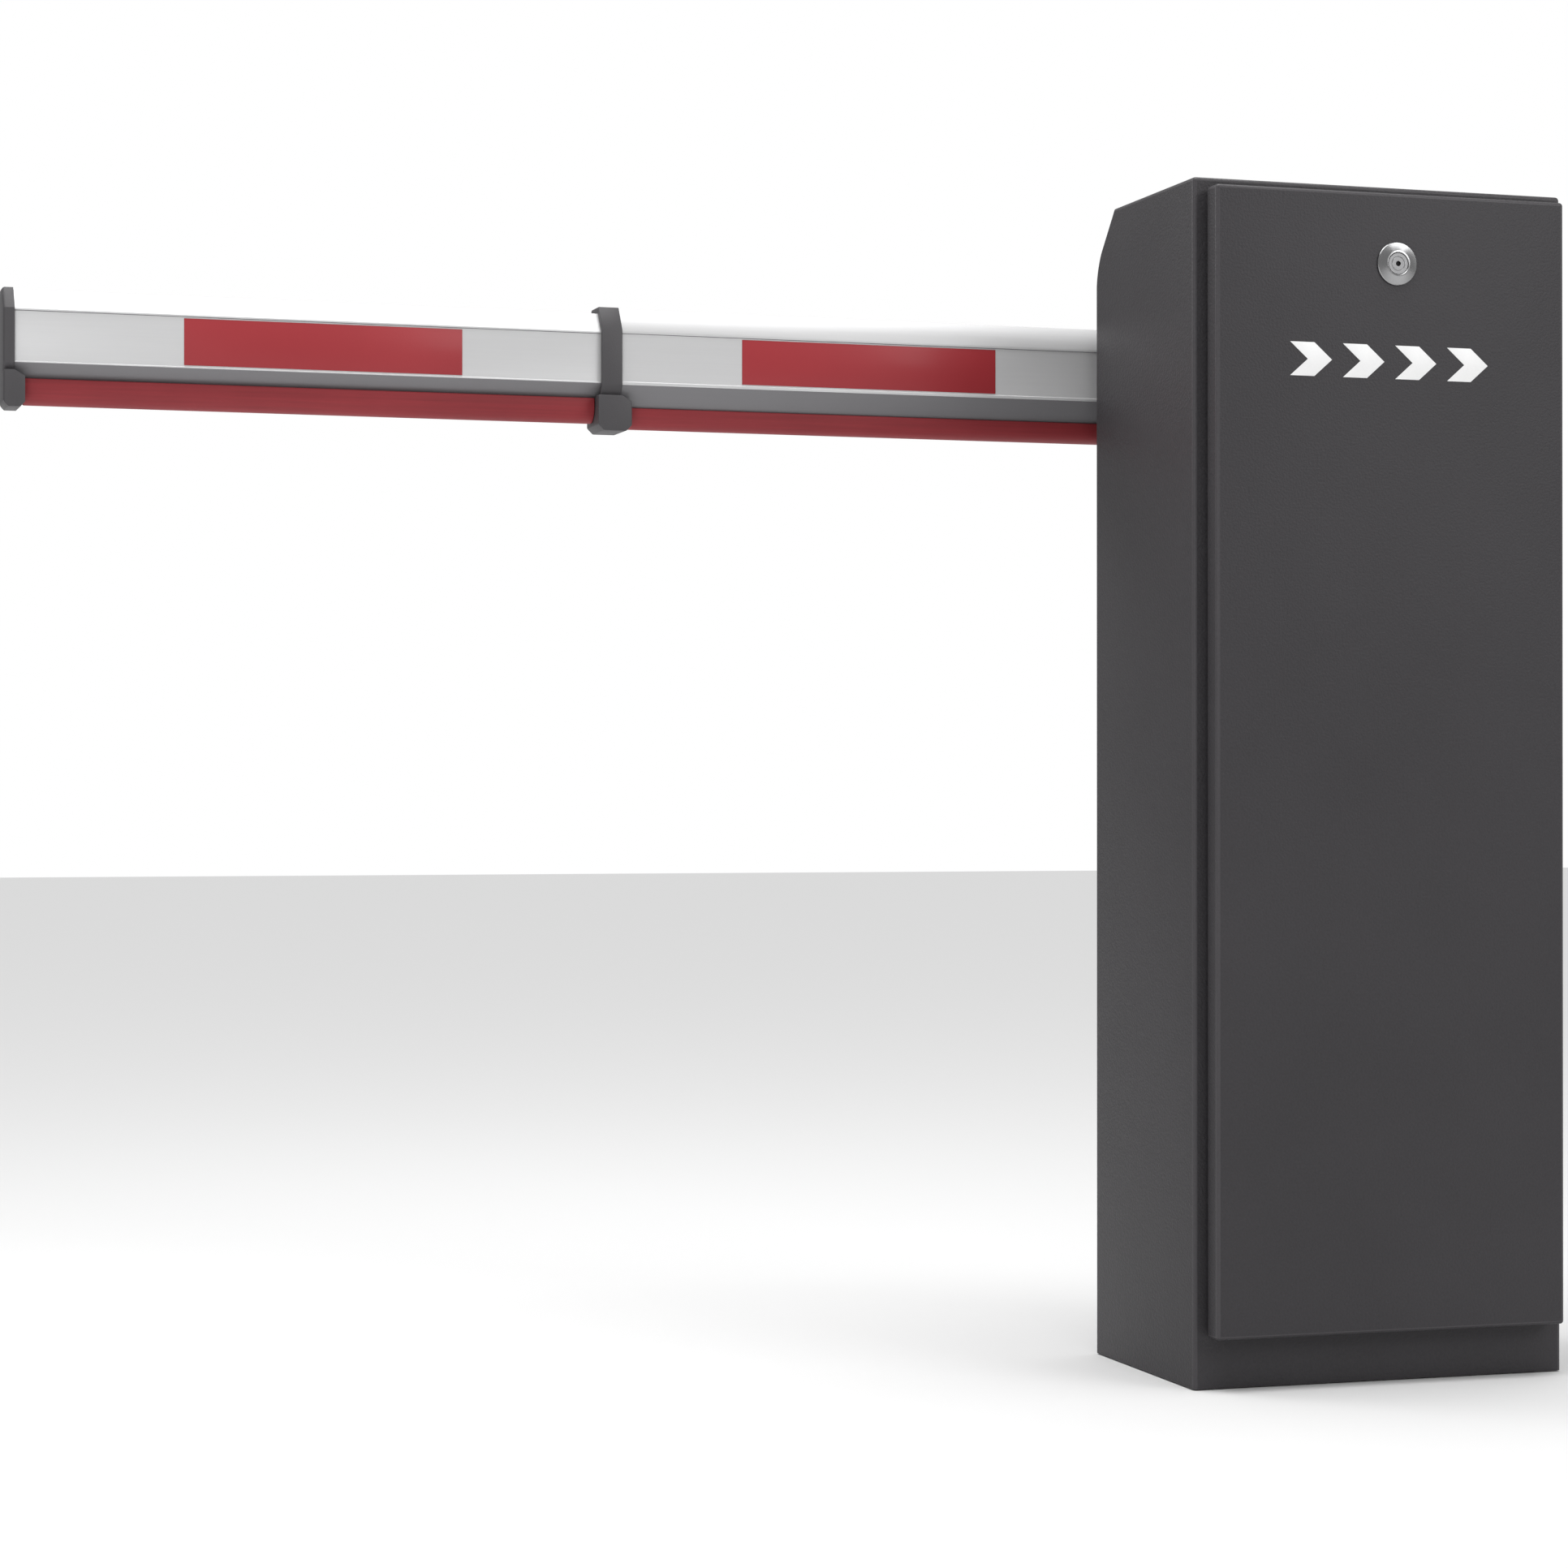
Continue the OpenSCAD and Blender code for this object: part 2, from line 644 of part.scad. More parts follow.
module hinge_brackets() {
    color(steel) for (s = [-1, 1], e = [-1, 1]) difference() {
        x = s * hook_x + e * (hook_t / 2 + ear_gap + ear_t / 2);
        block([x - ear_t / 2, in_front_y, pivot_z - 26], [x + ear_t / 2, pivot_y + 8, pivot_z + 8]);
        rod_x(x - ear_t, x + ear_t, pivot_y, pivot_z, hinge_pin_r);
    }
}
module hinge_pins() {
    half = hook_t / 2 + ear_gap + ear_t + 2;
    color(zinc) for (s = [-1, 1])
        rod_x(s * hook_x - half, s * hook_x + half, pivot_y, pivot_z, hinge_pin_r);
}

// Four plain direction chevrons
module door_decal() {
    color("white") for (i = [0:3]) translate([-72 + i * 48, door_face_y, 850]) rotate([90, 0, 0])
        linear_extrude(0.3) polygon([[0, -14], [16, 0], [0, 14], [-22, 14], [-6, 0], [-22, -14]]);
}

module lock_housing() {
    color("silver") difference() {
        union() {
            translate([lock_x, door_face_y, lock_z]) rotate([90, 0, 0])
                cylinder(h = rosette_t, r1 = lock_ring_d / 2, r2 = 12);
            rod_y(door_face_y, door_face_y + 22, lock_x, lock_z, lock_body_r);
        }
        rod_y(door_face_y - rosette_t - 1, door_face_y + 23, lock_x, lock_z, plug_r + run_gap);
    }
}
module lock_nut() {
    color(zinc) difference() {
        hex_y(door_face_y + door_t, door_face_y + door_t + 7, lock_x, lock_z, 18);
        rod_y(door_face_y, door_face_y + 12, lock_x, lock_z, lock_body_r);
    }
}
module lock_plug() {
    color("silver") difference() {
        union() {
            rod_y(door_face_y - rosette_t + 0.5, door_face_y + 20, lock_x, lock_z, plug_r);
            rod_y(door_face_y + 20, cam_front_y + cam_t, lock_x, lock_z, plug_stem_r);
        }
        block([lock_x - 1, door_face_y - rosette_t, lock_z - 3.5],
            [lock_x + 1, door_face_y + 4, lock_z + 3.5]);
        rod_y(cam_front_y - 8, cam_front_y + cam_t + 1, lock_x, lock_z, 2.5);
    }
}
module lock_cam() {
    color(zinc) difference() {
        union() {
            rod_y(cam_front_y, cam_front_y + cam_t, lock_x, lock_z, 10);
            block([lock_x, cam_front_y, lock_z - cam_half],
                [lock_x + cam_reach, cam_front_y + cam_t, lock_z + cam_half]);
        }
        rod_y(cam_front_y - 1, cam_front_y + cam_t + 1, lock_x, lock_z, plug_stem_r);
    }
}
module cam_screw() {
    color(zinc) {
        rod_y(cam_front_y - 8, cam_front_y + cam_t, lock_x, lock_z, 2.5);
        hex_y(cam_front_y + cam_t, cam_front_y + cam_t + 4, lock_x, lock_z, 7.5);
    }
}

module hub_flange() {
    color(graphite) difference() {
        union() {
            rod_y(hub_y0, holder_y, 0, shaft_z, hub_r);
            rod_y(back_y + 2, hub_y0, 0, shaft_z, shaft_d / 2 + 7);
        }
        rod_y(back_y, holder_y + 1, 0, shaft_z, shaft_d / 2);
    }
}

module at_clamp_bolts() {
    for (x = [holder_x0 + 20, holder_x1 - 20], s = [-1, 1]) translate([x, 0, shaft_z + s * clamp_z])
        children();
}
module boom_holder() {
    color(graphite) difference() {
        block([holder_x0, holder_y, shaft_z - holder_half_h], [holder_x1, boom_y, shaft_z + holder_half_h]);
        at_clamp_bolts() rod_y(holder_y - 1, boom_y + 1, 0, 0, clamp_r);
    }
}
module clamp_plate() {
    color(graphite) difference() {
        block([holder_x0, boom_y + root_d, shaft_z - holder_half_h],
            [holder_x1, boom_y + root_d + clamp_t, shaft_z + holder_half_h]);
        at_clamp_bolts() rod_y(boom_y, boom_y + root_d + clamp_t + 1, 0, 0, clamp_r);
    }
}
module clamp_bolts() {
    y1 = boom_y + root_d + clamp_t;
    color(zinc) at_clamp_bolts() {
        rod_y(holder_y, y1 + 8, 0, 0, clamp_r);
        hex_y(y1, y1 + 8, 0, 0, 9);
    }
}

// Eight-sided boom section in Y and Z, moved inwards by t
function boom_outline(y0, d, bevel, z0, f0, f1, z1, t) =
    let (up = t * tan(atan2(z1 - f1, bevel) / 2), low = t * tan(atan2(f0 - z0, bevel) / 2),
         fu = t * tan((90 - atan2(z1 - f1, bevel)) / 2), fl = t * tan((90 - atan2(f0 - z0, bevel)) / 2))
    [[y0 + t, f0 + fl], [y0 + t, f1 - fu], [y0 + bevel + up, z1 - t], [y0 + d - bevel - up, z1 - t],
     [y0 + d - t, f1 - fu], [y0 + d - t, f0 + fl], [y0 + d - bevel - low, z0 + t],
         [y0 + bevel + low, z0 + t]];
function root_outline(t) = boom_outline(boom_y, root_d, root_bevel, root_z0, root_face_z0,
    root_face_z0 + root_face_h, root_z1, t);
function tip_outline(t) = boom_outline(tip_y, tip_d, tip_bevel, tip_z0, tip_face_z0,
    tip_face_z0 + tip_face_h, tip_z1, t);

root_face_mid = root_face_z0 + root_face_h / 2;
tip_face_mid = tip_face_z0 + tip_face_h / 2;

module root_section() {
    color(alu) difference() {
        along_x(-collar_in_x, boom_tail) polygon(root_outline(0));
        along_x(-collar_in_x - 1, boom_tail + 1) polygon(root_outline(boom_wall));
        block([-collar_in_x - 1, boom_y - 1, root_face_mid - channel_h / 2],
            [boom_tail + 1, boom_y + channel_d, root_face_mid + channel_h / 2]);
    }
}
module tip_section() {
    color(alu) difference() {
        along_x(-boom_reach + cap_t, -collar_in_x + tip_nest) polygon(tip_outline(0));
        along_x(-boom_reach, -collar_in_x + tip_nest + 1) polygon(tip_outline(boom_wall));
        block([-boom_reach, tip_y - 1, tip_face_mid - channel_h / 2],
            [-collar_in_x + tip_nest + 1, tip_y + channel_d, tip_face_mid + channel_h / 2]);
    }
}

// A hollow D-shaped rubber edge under a boom section
module bumper_section(y, z1, drop) {
    r = bumper_w / 2;
    wall = 4;
    difference() {
        intersection() {
            translate([y - r, z1 - drop]) square([bumper_w, drop]);
            union() {
                translate([y - r, z1 - drop + r]) square([bumper_w, drop]);
                translate([y, z1 - drop + r]) circle(r = r);
            }
        }
        intersection() {
            translate([y - r, z1 - drop]) square([bumper_w, drop - wall]);
            translate([y, z1 - drop + r]) circle(r = r - wall);
        }
    }
}
root_mid_y = boom_y + root_d / 2;
module root_bumper() {
    color(rubber_red) along_x(-collar_in_x + lobe_over, holder_x0 - 6)
        bumper_section(root_mid_y, root_z0, root_bumper_h);
}
module tip_bumper() {
    color(rubber_red) along_x(-boom_reach + cap_lobe, -collar_x - lobe_lip - slide_gap)
        bumper_section(root_mid_y, tip_z0, tip_bumper_h);
}

module root_reflector() {
    x1 = -collar_in_x + reflector_inset_root;
    color("crimson") block([x1, boom_y + channel_d - reflector_t, root_face_mid - reflector_h / 2],
        [x1 + reflector_l, boom_y + channel_d, root_face_mid + reflector_h / 2]);
}
module tip_reflector() {
    x0 = -boom_reach + cap_t + reflector_inset_tip;
    color("crimson") block([x0, tip_y + channel_d - reflector_t, tip_face_mid - reflector_h / 2],
        [x0 + reflector_l, tip_y + channel_d, tip_face_mid + reflector_h / 2]);
}

// Outline of the lower lobe of the collar or cap, in X and Z, with cut corners
module lobe(x0, x1, z0, z1, y0, y1, cut) {
    translate([0, y1, 0]) rotate([90, 0, 0]) linear_extrude(y1 - y0)
        polygon([[x0, z1], [x0, z0 + cut], [x0 + cut, z0], [x1 - cut, z0], [x1, z0 + cut],
            [x1, z1 - lobe_shoulder], [x1 - lobe_over, z1]]);
}
module joint_collar() {
    foot_z = root_z0 - root_bumper_h - collar_foot;
    color(plastic_grey) difference() {
        union() {
            along_x(-collar_x, -collar_in_x) polygon(root_outline(-collar_grow));
            lobe(-collar_x - lobe_lip, -collar_in_x + lobe_over, foot_z, (root_z0 + root_face_z0) / 2,
                boom_y - collar_grow, root_mid_y + bumper_w / 2 + 3, 5);
        }
        along_x(-collar_x - lobe_lip - 1, -collar_in_x + 1) polygon(tip_outline(-slide_gap));
        along_x(-collar_in_x, -collar_in_x + lobe_over + 1) polygon(root_outline(-slide_gap));
    }
}
module end_cap() {
    foot_z = tip_z0 - tip_bumper_h - 3;
    half = bumper_w / 2 + 2;
    color(plastic_grey) {
        along_x(-boom_reach, -boom_reach + cap_t) polygon(tip_outline(-collar_grow));
        difference() {
            lobe(-boom_reach, -boom_reach + cap_lobe, foot_z, (tip_z0 + tip_face_z0) / 2,
                tip_y - collar_grow, root_mid_y + half, 4);
            along_x(-boom_reach + cap_t, -boom_reach + cap_lobe + 1) polygon(tip_outline(-slide_gap));
        }
    }
}

cabinet_shell();
front_frame();
base_plate();
cable_grommet();
rear_bearing_plate();
front_bearing_plate();
spacer_posts();
plate_bolts();
rear_bearing();
front_bearing();
main_shaft();
worm_wheel();
gearbox_housing();
gearbox_cover();
worm_shaft();
motor_case();
handwheel();
balance_lever();
lever_pin();
spring_hanger();
balance_springs();
spring_eyebolts();
eyebolt_nuts();
spring_beam();
stop_brackets();
stop_buffers();
limit_cams();
limit_switches();
panel_plate();
panel_standoffs();
controller_box();
power_supply();
din_rail();
circuit_breaker();
terminal_blocks();
door_panel();
door_gasket();
door_hooks();
door_decal();
hinge_brackets();
hinge_pins();
lock_housing();
lock_nut();
lock_plug();
lock_cam();
cam_screw();
hub_flange();
boom_holder();
clamp_plate();
clamp_bolts();
root_section();
root_bumper();
root_reflector();
joint_collar();
tip_section();
tip_bumper();
tip_reflector();
end_cap();
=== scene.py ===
# Parking barrier gate, put together in the order of its assembly.
import json
import math
import bpy
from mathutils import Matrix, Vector


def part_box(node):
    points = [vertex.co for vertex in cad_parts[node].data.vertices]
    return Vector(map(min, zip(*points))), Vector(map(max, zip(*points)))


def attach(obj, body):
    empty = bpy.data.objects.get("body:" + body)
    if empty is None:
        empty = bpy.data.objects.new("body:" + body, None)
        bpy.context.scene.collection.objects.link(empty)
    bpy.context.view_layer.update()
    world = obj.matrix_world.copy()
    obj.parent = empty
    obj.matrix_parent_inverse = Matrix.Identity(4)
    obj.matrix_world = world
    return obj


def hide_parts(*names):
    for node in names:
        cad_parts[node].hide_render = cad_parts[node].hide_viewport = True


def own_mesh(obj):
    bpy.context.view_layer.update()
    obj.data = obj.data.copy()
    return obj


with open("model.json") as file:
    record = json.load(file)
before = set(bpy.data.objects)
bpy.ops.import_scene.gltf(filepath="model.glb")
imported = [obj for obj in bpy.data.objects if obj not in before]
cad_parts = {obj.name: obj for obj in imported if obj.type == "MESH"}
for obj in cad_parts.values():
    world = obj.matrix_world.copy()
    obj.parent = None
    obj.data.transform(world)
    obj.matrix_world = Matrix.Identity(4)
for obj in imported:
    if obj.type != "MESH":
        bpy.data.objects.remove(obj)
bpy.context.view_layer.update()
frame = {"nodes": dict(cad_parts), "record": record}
cad = frame["nodes"]


# Floor, light and camera. A pale floor, a large key from the upper right, a panel and
# a wide sun overhead and two weak panels on the left. The camera stands low, in front
# and to the left.
def deselect():
    if bpy.context.object and bpy.context.object.mode == "EDIT":
        bpy.ops.object.mode_set(mode="OBJECT")
    bpy.ops.object.select_all(action="DESELECT")


def new_material(name, colour, roughness, metallic=0.0):
    material = bpy.data.materials.new(name)
    material.use_nodes = True
    shader = material.node_tree.nodes["Principled BSDF"]
    shader.inputs["Base Color"].default_value = (*colour, 1)
    shader.inputs["Roughness"].default_value = roughness
    shader.inputs["Metallic"].default_value = metallic
    return material, material.node_tree.nodes, material.node_tree.links, shader


floor_size = 40
floor_drop = 0.001
deselect()
bpy.ops.mesh.primitive_plane_add(size=floor_size, location=(0, 0, -floor_drop))
floor = bpy.context.object
floor.name = "studio_floor"
floor_paint, _, _, _ = new_material("pale_floor", (0.78, 0.78, 0.78), 0.9)
floor.data.materials.append(floor_paint)

world = bpy.data.worlds.new("studio_world")
world.use_nodes = True
sky_nodes, sky_links = world.node_tree.nodes, world.node_tree.links
soft_sky = sky_nodes["Background"]
soft_sky.inputs["Color"].default_value = (1, 1, 1, 1)
soft_sky.inputs["Strength"].default_value = 0.35
backdrop = sky_nodes.new("ShaderNodeBackground")
backdrop.inputs["Color"].default_value = (1, 1, 1, 1)
backdrop.inputs["Strength"].default_value = 1.0
seen = sky_nodes.new("ShaderNodeLightPath")
either = sky_nodes.new("ShaderNodeMixShader")
sky_links.new(seen.outputs["Is Camera Ray"], either.inputs["Fac"])
sky_links.new(soft_sky.outputs["Background"], either.inputs[1])
sky_links.new(backdrop.outputs["Background"], either.inputs[2])
sky_links.new(either.outputs["Shader"], sky_nodes["World Output"].inputs["Surface"])
bpy.context.scene.world = world
bpy.context.scene.view_settings.view_transform = "Standard"


def area_light(name, place, target, size, power):
    deselect()
    bpy.ops.object.light_add(type="AREA", location=place)
    lamp = bpy.context.object
    lamp.name = name
    lamp.data.size = size
    lamp.data.energy = power
    lamp.rotation_euler = (Vector(target) - Vector(place)).to_track_quat("-Z", "Y").to_euler()


area_light("key_panel", (2.2, -3.4, 2.6), (-0.2, 0, 0.6), 2.0, 51)
area_light("top_panel", (-0.8, -0.3, 3.2), (-0.6, 0.1, 0.8), 2.2, 34)
area_light("side_panel", (-1.4, 0.9, 1.8), (-0.17, 0, 0.9), 0.7, 7)
area_light("tip_panel", (-2.3, -2.4, 1.3), (-1.1, 0.1, 0.85), 0.8, 10)

deselect()
bpy.ops.object.light_add(type="SUN", location=(0, 0, 4))
overhead = bpy.context.object
overhead.name = "overhead_softbox"
overhead.data.energy = 1.8
overhead.data.angle = math.radians(60)

camera_place = (-1.381, -2.820, 0.486)
camera_turn = math.radians(-17.52)
camera_tilt = math.radians(90.25)
bpy.ops.object.camera_add(location=camera_place, rotation=(camera_tilt, 0, camera_turn))
camera = bpy.context.object
camera.name = "studio_camera"
camera.data.lens = 82.3
camera.data.sensor_width = 36
camera.data.clip_end = 60
bpy.context.scene.camera = camera


# Cabinet shell: one folded and welded sheet-steel body with a powder coat. The outer
# folds are rounded, the rear slope is bent in at a wider radius, and the door opening
# and the foot are open.
def noise(nodes, links, scale, detail=3.0, stretch=(1, 1, 1), roughness=0.5):
    place = nodes.new("ShaderNodeTexCoord")
    mapping = nodes.new("ShaderNodeMapping")
    mapping.inputs["Scale"].default_value = stretch
    texture = nodes.new("ShaderNodeTexNoise")
    texture.inputs["Scale"].default_value = scale
    texture.inputs["Detail"].default_value = detail
    texture.inputs["Roughness"].default_value = roughness
    links.new(place.outputs["Object"], mapping.inputs["Vector"])
    links.new(mapping.outputs["Vector"], texture.inputs["Vector"])
    return texture.outputs["Fac"]


def mottle(nodes, links, shader, factor, dark, light, low=0.3, high=0.7):
    ramp = nodes.new("ShaderNodeValToRGB")
    ramp.color_ramp.elements[0].position = low
    ramp.color_ramp.elements[1].position = high
    ramp.color_ramp.elements[0].color = (*dark, 1)
    ramp.color_ramp.elements[1].color = (*light, 1)
    links.new(factor, ramp.inputs["Fac"])
    links.new(ramp.outputs["Color"], shader.inputs["Base Color"])


def rough_between(nodes, links, shader, factor, low, high):
    spread = nodes.new("ShaderNodeMapRange")
    spread.inputs["To Min"].default_value = low
    spread.inputs["To Max"].default_value = high
    links.new(factor, spread.inputs["Value"])
    links.new(spread.outputs["Result"], shader.inputs["Roughness"])


def bump(nodes, links, shader, height, depth, strength=1.0):
    relief = nodes.new("ShaderNodeBump")
    relief.inputs["Distance"].default_value = depth
    relief.inputs["Strength"].default_value = strength
    links.new(height, relief.inputs["Height"])
    links.new(relief.outputs["Normal"], shader.inputs["Normal"])


def tinted(colour, share):
    return tuple(min(1.0, c * share) for c in colour)


def finish(name, colour, roughness, metallic=0.0, grain=600, depth=0.00005, spread=0.08,
           cloud=9, rough_spread=0.08, stretch=(1, 1, 1), gloss=0.5):
    material, nodes, links, shader = new_material(name, colour, roughness, metallic)
    shader.inputs["Specular IOR Level"].default_value = gloss
    clouds = noise(nodes, links, cloud, 4.0)
    fine = noise(nodes, links, grain, 2.0, stretch)
    blend = nodes.new("ShaderNodeMix")
    blend.inputs["Factor"].default_value = 0.5
    links.new(clouds, blend.inputs["A"])
    links.new(fine, blend.inputs["B"])
    darker, lighter = tinted(colour, 1 - spread), tinted(colour, 1 + spread)
    mottle(nodes, links, shader, blend.outputs["Result"], darker, lighter)
    rough_between(nodes, links, shader, fine, roughness - rough_spread, roughness + rough_spread)
    bump(nodes, links, shader, fine, depth)
    return material


powder_coat = finish("graphite_powder_coat", (0.037, 0.0346, 0.038), 0.50, 0.0, 520, 0.00042,
                     0.16, 5, 0.10, gloss=0.32)
# painted highlight: a lighter, glossier copy of the powder coat, put on the outer folds
fold_highlight_coat = finish("painted_highlight_on_folds", (0.052, 0.0485, 0.053), 0.42, 0.0, 520, 0.00020,
                   0.12, 5, 0.08, gloss=0.40)


def smooth(piece, angle=40):
    deselect()
    piece.select_set(True)
    bpy.context.view_layer.objects.active = piece
    bpy.ops.object.shade_smooth_by_angle(angle=math.radians(angle))


def select_edges(piece, wanted):
    bpy.ops.object.mode_set(mode="EDIT")
    bpy.ops.mesh.select_mode(type="EDGE")
    bpy.ops.mesh.select_all(action="DESELECT")
    bpy.ops.object.mode_set(mode="OBJECT")
    points = piece.data.vertices
    for edge in piece.data.edges:
        ends = [points[i].co for i in edge.vertices]
        edge.select = wanted(ends[0], ends[1])
    bpy.ops.object.mode_set(mode="EDIT")


def near(a, b, reach=0.00015):
    return abs(a - b) < reach


def folded(piece, wanted, radius, segments=5):
    select_edges(piece, wanted)
    bpy.ops.mesh.bevel(offset=radius, segments=segments, profile=0.5, affect="EDGES")
    bpy.ops.object.mode_set(mode="OBJECT")


shell_low, shell_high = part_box("cabinet_shell")
shell_sheet = 0.002
fold_radius = 0.0032
slope_depth = 0.041
slope_height = 0.046
slope_bend = 0.0191
opening_low = Vector((-0.138, 0, 0.048))
opening_high = Vector((0.138, 0, 0.950))
opening_margin = 0.010
shell_mid = (shell_low + shell_high) / 2
deselect()
bpy.ops.mesh.primitive_cube_add(size=1, location=shell_mid, scale=shell_high - shell_low)
cabinet = bpy.context.object
cabinet.name = "cabinet_body"
bpy.ops.object.transform_apply(location=True, rotation=True, scale=True)
bpy.ops.object.mode_set(mode="EDIT")
bpy.ops.mesh.select_all(action="SELECT")
bpy.ops.mesh.bisect(plane_co=(0, shell_high.y, shell_high.z - slope_height),
                    plane_no=(0, slope_height, slope_depth), use_fill=True, clear_outer=True)
bpy.ops.object.mode_set(mode="OBJECT")
slope_foot = shell_high.z - slope_height


def slope_fold(a, b):
    return near(a.z, slope_foot) and near(b.z, slope_foot) and near(a.y, b.y)


def outer_fold(a, b):
    at_side = near(a.x, b.x)
    at_foot = near(a.z, shell_low.z) and near(b.z, shell_low.z)
    at_front = near(a.y, shell_low.y) and near(b.y, shell_low.y)
    at_top = near(a.z, shell_high.z) and near(b.z, a.z)
    return (at_side and not at_foot) or (at_front and at_top)


folded(cabinet, slope_fold, slope_bend, 10)
folded(cabinet, outer_fold, fold_radius, 5)


def select_faces(piece, wanted):
    bpy.ops.object.mode_set(mode="EDIT")
    bpy.ops.mesh.select_mode(type="FACE")
    bpy.ops.mesh.select_all(action="DESELECT")
    bpy.ops.object.mode_set(mode="OBJECT")
    for face in piece.data.polygons:
        face.select = wanted(face)
    bpy.ops.object.mode_set(mode="EDIT")


select_faces(cabinet, lambda face: face.normal.y < -0.999 and face.area > 0.1)
bpy.ops.mesh.inset(thickness=opening_margin)
bpy.ops.object.mode_set(mode="OBJECT")
corners = cabinet.data.vertices
inner = [corners[i].co for face in cabinet.data.polygons if face.select for i in face.vertices]
inner_low = Vector((min(v.x for v in inner), 0, min(v.z for v in inner)))
inner_high = Vector((max(v.x for v in inner), 0, max(v.z for v in inner)))
inner_mid = (inner_low + inner_high) / 2
opening_mid = (opening_low + opening_high) / 2
share_x = (opening_high.x - opening_low.x) / (inner_high.x - inner_low.x)
share_z = (opening_high.z - opening_low.z) / (inner_high.z - inner_low.z)
bpy.ops.object.mode_set(mode="EDIT")
bpy.ops.transform.resize(value=(share_x, 1, share_z),
                         center_override=(inner_mid.x, shell_low.y, inner_mid.z))
bpy.ops.transform.translate(value=(opening_mid.x - inner_mid.x, 0, opening_mid.z - inner_mid.z))
bpy.ops.mesh.delete(type="FACE")
select_faces(cabinet, lambda face: face.normal.z < -0.99)
bpy.ops.mesh.delete(type="FACE")
bpy.ops.object.mode_set(mode="OBJECT")
wall = cabinet.modifiers.new("sheet", "SOLIDIFY")
wall.thickness = shell_sheet
wall.offset = -1
bpy.ops.object.modifier_apply(modifier=wall.name)
smooth(cabinet, 30)
cabinet.data.materials.append(powder_coat)


def paint_fold_highlights(piece, flat=0.99, largest_fold=0.004):
    # the tight outer folds that don't face down get a lighter, glossier coat: a painted highlight
    piece.data.materials.append(fold_highlight_coat)
    for face in piece.data.polygons:
        turn = face.normal
        tight = max(abs(turn.x), abs(turn.y), abs(turn.z)) < flat and face.area < largest_fold
        # folds facing down are left out, so the painted highlight sits only where light falls
        if tight and turn.z > -0.3 and (abs(turn.x) > 0.02 or turn.y < 0):
            face.material_index = 1


# painted highlight on the shell's outer folds
paint_fold_highlights(cabinet)
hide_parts("cabinet_shell", "front_frame")
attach(cabinet, "cabinet")


# Base plate: zinc-plated steel, welded into the foot of the cabinet. Its slot for
# the cables has a rubber trim. Here and further on a piece is taken over from its
# machined shape, and its edges are broken, so that each takes a thin highlight.
def copy_of(node, name):
    deselect()
    mesh = cad[node].data.copy()
    mesh.materials.clear()
    piece = bpy.data.objects.new(name, mesh)
    bpy.context.collection.objects.link(piece)
    bpy.context.view_layer.objects.active = piece
    piece.select_set(True)
    bpy.ops.object.mode_set(mode="EDIT")
    bpy.ops.mesh.select_all(action="SELECT")
    bpy.ops.mesh.remove_doubles(threshold=0.00001)
    bpy.ops.mesh.dissolve_limited(angle_limit=math.radians(1))
    bpy.ops.mesh.select_all(action="DESELECT")
    bpy.ops.object.mode_set(mode="OBJECT")
    return piece


def broken_edges(piece, width, segments=2, angle=32):
    bevel = piece.modifiers.new("broken_edges", "BEVEL")
    bevel.width = width
    bevel.segments = segments
    bevel.limit_method = "ANGLE"
    bevel.angle_limit = math.radians(angle)
    bevel.use_clamp_overlap = True
    bpy.context.view_layer.objects.active = piece
    bpy.ops.object.modifier_apply(modifier=bevel.name)


body_of_node = {n: b for b, names in frame["record"]["behaviour"]["bodies"].items() for n in names}


def fit(piece, node, material):
    piece.data.materials.clear()
    piece.data.materials.append(material)
    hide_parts(node)
    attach(piece, body_of_node[node])


def taken_over(node, name, material, width=0.0004, segments=2):
    piece = copy_of(node, name)
    broken_edges(piece, width, segments)
    smooth(piece)
    fit(piece, node, material)
    return piece


plated = finish("zinc_plated_steel", (0.60, 0.60, 0.57), 0.34, 1.0, 500, 0.00003, 0.10, 30, 0.10)
black_rubber = finish("black_rubber", (0.022, 0.022, 0.024), 0.72, 0.0, 500, 0.00008, 0.15, 40)
taken_over("base_plate", "base_plate_welded", plated, 0.0006)
taken_over("cable_grommet", "cable_edge_trim", black_rubber, 0.0012, 3)


# Shaft carrier: two plated bearing plates, held apart by four posts and bolts. They
# carry the ground boom shaft in two cast flange bearings.
round_shaft = (1, 0.02, 1)
machined = finish("machined_steel", (0.56, 0.57, 0.58), 0.28, 1.0, 900, 0.00002, 0.05, 14, 0.08,
                  round_shaft)
cast_paint = finish("painted_casting", (0.20, 0.21, 0.22), 0.55, 0.0, 350, 0.00030, 0.10, 20)
for node, piece_name, material, width in (
        ("rear_bearing_plate", "bearing_plate_rear", plated, 0.0006),
        ("front_bearing_plate", "bearing_plate_front", plated, 0.0006),
        ("spacer_posts", "post_set", plated, 0.0005),
        ("plate_bolts", "post_bolt_set", plated, 0.0005),
        ("rear_bearing", "flange_bearing_rear", cast_paint, 0.0015),
        ("front_bearing", "flange_bearing_front", cast_paint, 0.0015),
        ("main_shaft", "boom_shaft", machined, 0.0010)):
    taken_over(node, piece_name, material, width)


